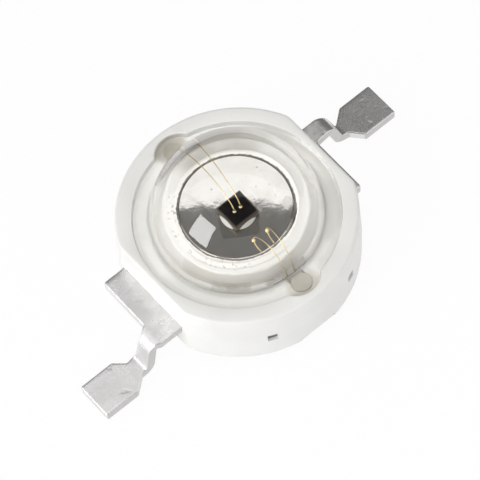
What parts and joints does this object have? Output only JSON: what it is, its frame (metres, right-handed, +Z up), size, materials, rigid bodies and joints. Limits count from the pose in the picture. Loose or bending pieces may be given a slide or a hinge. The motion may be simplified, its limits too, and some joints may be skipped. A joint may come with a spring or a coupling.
{
  "type": "infrared led",
  "caption": "Surface-mount infrared emitter with a clear dome, a white moulded body and two bent solder leads.",
  "frame": {"origin": "middle of the solder face under the heat slug, level with the undersides of the two lead pads", "axes": "+X across the two flats and along the leads, +Y towards the wire post that the chip wires run to, +Z up through the dome"},
  "size_m": [0.0142, 0.008, 0.0055],
  "materials": {
    "white_moulding": "satin moulded",
    "silver_plate": "bright plated",
    "tin_plate": "satin plated",
    "silver_paste": "dull",
    "chip_crystal": "polished",
    "gold_wire": "bright drawn",
    "clear_gel": "clear",
    "clear_lens": "clear polished"
  },
  "bodies": {
    "root": {"housing": "white_moulding", "heat_slug": "silver_plate", "anode_lead": "tin_plate", "cathode_lead": "tin_plate", "die_attach": "silver_paste", "emitter_chip": "chip_crystal", "chip_wire_a": "gold_wire", "chip_wire_b": "gold_wire", "cup_wire_a": "gold_wire", "cup_wire_b": "gold_wire", "encapsulant": "clear_gel", "lens": "clear_lens"}
  },
  "joints": []
}
